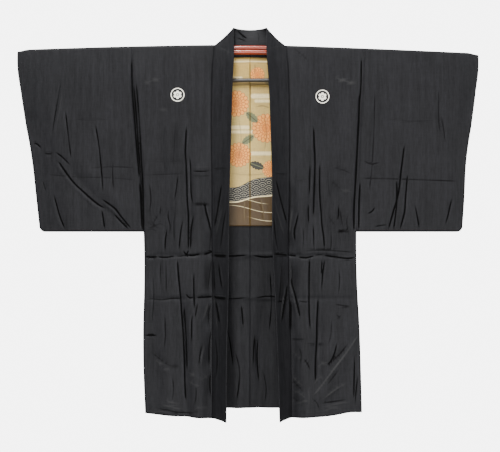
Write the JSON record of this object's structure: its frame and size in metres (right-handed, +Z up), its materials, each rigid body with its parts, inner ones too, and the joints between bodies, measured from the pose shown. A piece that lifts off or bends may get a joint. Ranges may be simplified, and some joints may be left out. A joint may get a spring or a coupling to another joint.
{
  "type": "haori jacket on kimono hanger bar",
  "caption": "Open knee-length silk haori, a jacket worn over a kimono, hanging by its sleeves from a straight bar with a belt rail below.",
  "frame": {"origin": "middle of the hanger bar, where the bar is held", "axes": "+X along the bar to the right of someone looking at the front, -Y towards the front, +Z up"},
  "size_m": [1.2324, 0.1116, 1.044],
  "materials": {
    "silk": "matt black silk",
    "lining_silk": "smooth printed silk",
    "bar_lacquer": "glossy red",
    "rail_plastic": "satin dark grey"
  },
  "bodies": {
    "root": {"bar_left": "bar_lacquer", "bar_right": "bar_lacquer", "belt_rail": "rail_plastic", "front_left": "silk", "front_right": "silk", "shoulder_left": "silk", "shoulder_right": "silk", "back_left": "silk", "back_right": "silk", "sleeve_left": "silk", "sleeve_right": "silk", "gusset_left": "silk", "gusset_right": "silk", "collar_left": "silk", "collar_neck": "silk", "collar_right": "silk", "lining_left": "lining_silk", "lining_right": "lining_silk"}
  },
  "joints": []
}
